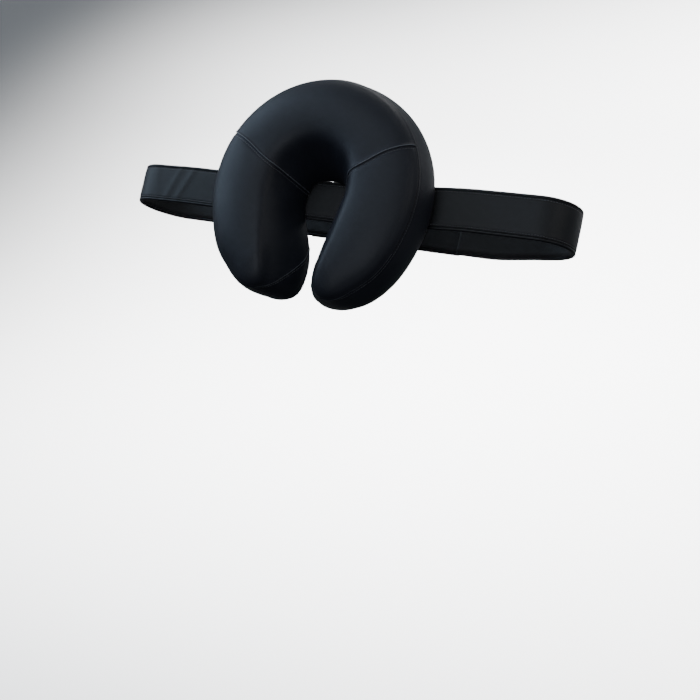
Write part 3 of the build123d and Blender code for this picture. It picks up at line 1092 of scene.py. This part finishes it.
for name, section, cad, slot_name, finish in FLAP_PARTS:
    made = swept(name, section, flap_place, FLAP_LENGTH, None, flap_crease, finish)
    stand_for(made, cad, "flap")
flap_rows = [
    run_row(flap_place, FLAP_LENGTH, z, face_top(z, FLAP_T, LAYER_Z, FLAP_PILLOW), None, flap_crease)
    for z in (STITCH_Z, -STITCH_Z)
]
stitched("flap_stitching", flap_rows, "flap")


def box_row(axis, fixed, span, height, up):
    """Stitch row on a flat CAD piece: along x at a z, or along z at an x."""
    line = []
    for at in np.arange(span[0], span[1] + 0.01, 2.0):
        line.append((at, height, fixed) if axis == "x" else (fixed, height, at))
    return line, [(0, up, 0)] * len(line)


def patch_rows(patch, height, up, inset=2.0):
    """Stitch rows just inside a flat patch's four edges."""
    low, high = (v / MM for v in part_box(patch))
    across = (low.x + inset + 1, high.x - inset - 1)
    tall = (low.z + inset + 1, high.z - inset - 1)
    return [
        box_row("x", low.z + inset, across, height, up),
        box_row("x", high.z - inset, across, height, up),
        box_row("z", low.x + inset, tall, height, up),
        box_row("z", high.x - inset, tall, height, up),
    ]


anchor_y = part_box("flap_anchor")[1].y / MM
stitched("anchor_stitching", patch_rows("flap_anchor", anchor_y, 1, 2.4), "strap")
patch_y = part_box("closure_loop_patch")[1].y / MM
stitched("loop_patch_stitching", patch_rows("closure_loop_patch", patch_y, 1), "strap")
hook_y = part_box("flap_hook_patch")[0].y / MM
stitched("hook_patch_stitching", patch_rows("flap_hook_patch", hook_y, -1), "flap")

# ------------------------------------------------------------ materials of the CAD nodes that stay

FINISH = {
    "black_vinyl": STRAP_VINYL,
    "vinyl_welt": WELT_VINYL,
    "foam": FOAM,
    "strap_padding": FELT,
    "black_webbing": WEBBING,
    "loop_cloth": LOOP,
    "hook_tape": HOOK,
    "zip_plastic": PLASTIC,
    "zip_metal": ENAMEL,
}
for part in frame["record"]["subparts"]:
    thing = nodes[part["node"]]
    for carried in thing.material_slots:
        carried.material = FINISH[part["material_slot"]]

# ------------------------------------------------------------ camera, stage, light

CAMERA_AT = Vector((0.468, -0.932, -0.262))
CAMERA_AIM = Vector((0.0842, 0.0, -0.2119))
CAMERA_ROLL = math.radians(12.48)

scene = bpy.context.scene
camera_data = bpy.data.cameras.new("camera")
camera = bpy.data.objects.new("camera", camera_data)
scene.collection.objects.link(camera)
scene.camera = camera
camera_data.sensor_width = 36
camera_data.lens = 36.0


def looking(at, towards):
    turn = (Vector(towards) - Vector(at)).to_track_quat("-Z", "Y").to_matrix().to_4x4()
    return Matrix.Translation(Vector(at)) @ turn


camera.matrix_world = looking(CAMERA_AT, CAMERA_AIM) @ Matrix.Rotation(CAMERA_ROLL, 4, "Z")
camera_data.clip_end = 60


def stage_sheet():
    """Pale floor that curves up into a backdrop."""
    profile = [(-6.0, -1.15), (0.6, -1.15)]
    radius, centre_y, centre_z = 2.6, 0.6, 1.45
    for k in range(1, 25):
        angle = math.pi / 2 * k / 24
        profile.append((centre_y + radius * math.sin(angle), centre_z - radius * math.cos(angle)))
    profile.append((centre_y + radius, 7.0))
    verts, quads = [], []
    for y, z in profile:
        verts += [(-8.0, y, z), (8.0, y, z)]
    for k in range(len(profile) - 1):
        quads.append((2 * k, 2 * k + 1, 2 * k + 3, 2 * k + 2))
    mesh = bpy.data.meshes.new("backdrop")
    mesh.from_pydata(verts, [], quads)
    mesh.polygons.foreach_set("use_smooth", [True] * len(mesh.polygons))
    made = bpy.data.objects.new("backdrop", mesh)
    scene.collection.objects.link(made)
    mesh.materials.append(material("backdrop_paint", (0.86, 0.86, 0.86), 0.9)[0])
    made.visible_glossy = False
    made.visible_diffuse = False


stage_sheet()


def softbox(name, at, towards, width, height, power, colour=(1, 1, 1), spread=180):
    light = bpy.data.lights.new(name, "AREA")
    light.shape = "RECTANGLE"
    light.size, light.size_y = width, height
    light.energy = power
    light.color = colour
    light.spread = math.radians(spread)
    made = bpy.data.objects.new(name, light)
    scene.collection.objects.link(made)
    made.matrix_world = looking(at, towards)


softbox("window_left", (-2.0, -0.9, 0.9), (-0.05, -0.05, 0), 1.8, 1.8, 32, (0.60, 0.78, 1.0))
softbox("room_front", (-0.6, -2.8, 1.3), (0, 0, 0), 2.2, 1.6, 13, (0.84, 0.92, 1.0))
softbox("low_fill", (0.3, -2.6, -0.5), (0, 0, 0), 1.8, 1.4, 17, (0.86, 0.92, 1.0))
softbox("right_glow", (2.0, -1.1, 0.9), (0.1, 0, 0), 1.2, 1.2, 5, (1.0, 0.96, 0.90))
softbox("rear_right", (1.6, 2.6, 1.6), (0, 0.05, 0), 1.6, 1.6, 7, (0.95, 0.97, 1.0))
softbox("rear_left", (-1.7, 2.6, 1.4), (0, 0.05, 0), 1.6, 1.6, 16, (0.88, 0.94, 1.0))
softbox("backdrop_light", (0.4, 1.4, 3.4), (-0.2, 3.2, -0.6), 6.5, 1.2, 760, spread=90)


def room():
    """Soft room light, brighter from above than from below."""
    world = bpy.data.worlds.new("room")
    scene.world = world
    world.use_nodes = True
    tree = world.node_tree
    light = tree.nodes["Background"]
    light.inputs["Color"].default_value = (0.84, 0.91, 1.0, 1)
    toward = tree.nodes.new("ShaderNodeTexCoord")
    split = tree.nodes.new("ShaderNodeSeparateXYZ")
    tree.links.new(toward.outputs["Generated"], split.inputs[0])
    tree.links.new(ramp_between(tree, split.outputs["Z"], -0.5, 0.6, 0.04, 0.36), light.inputs["Strength"])


room()
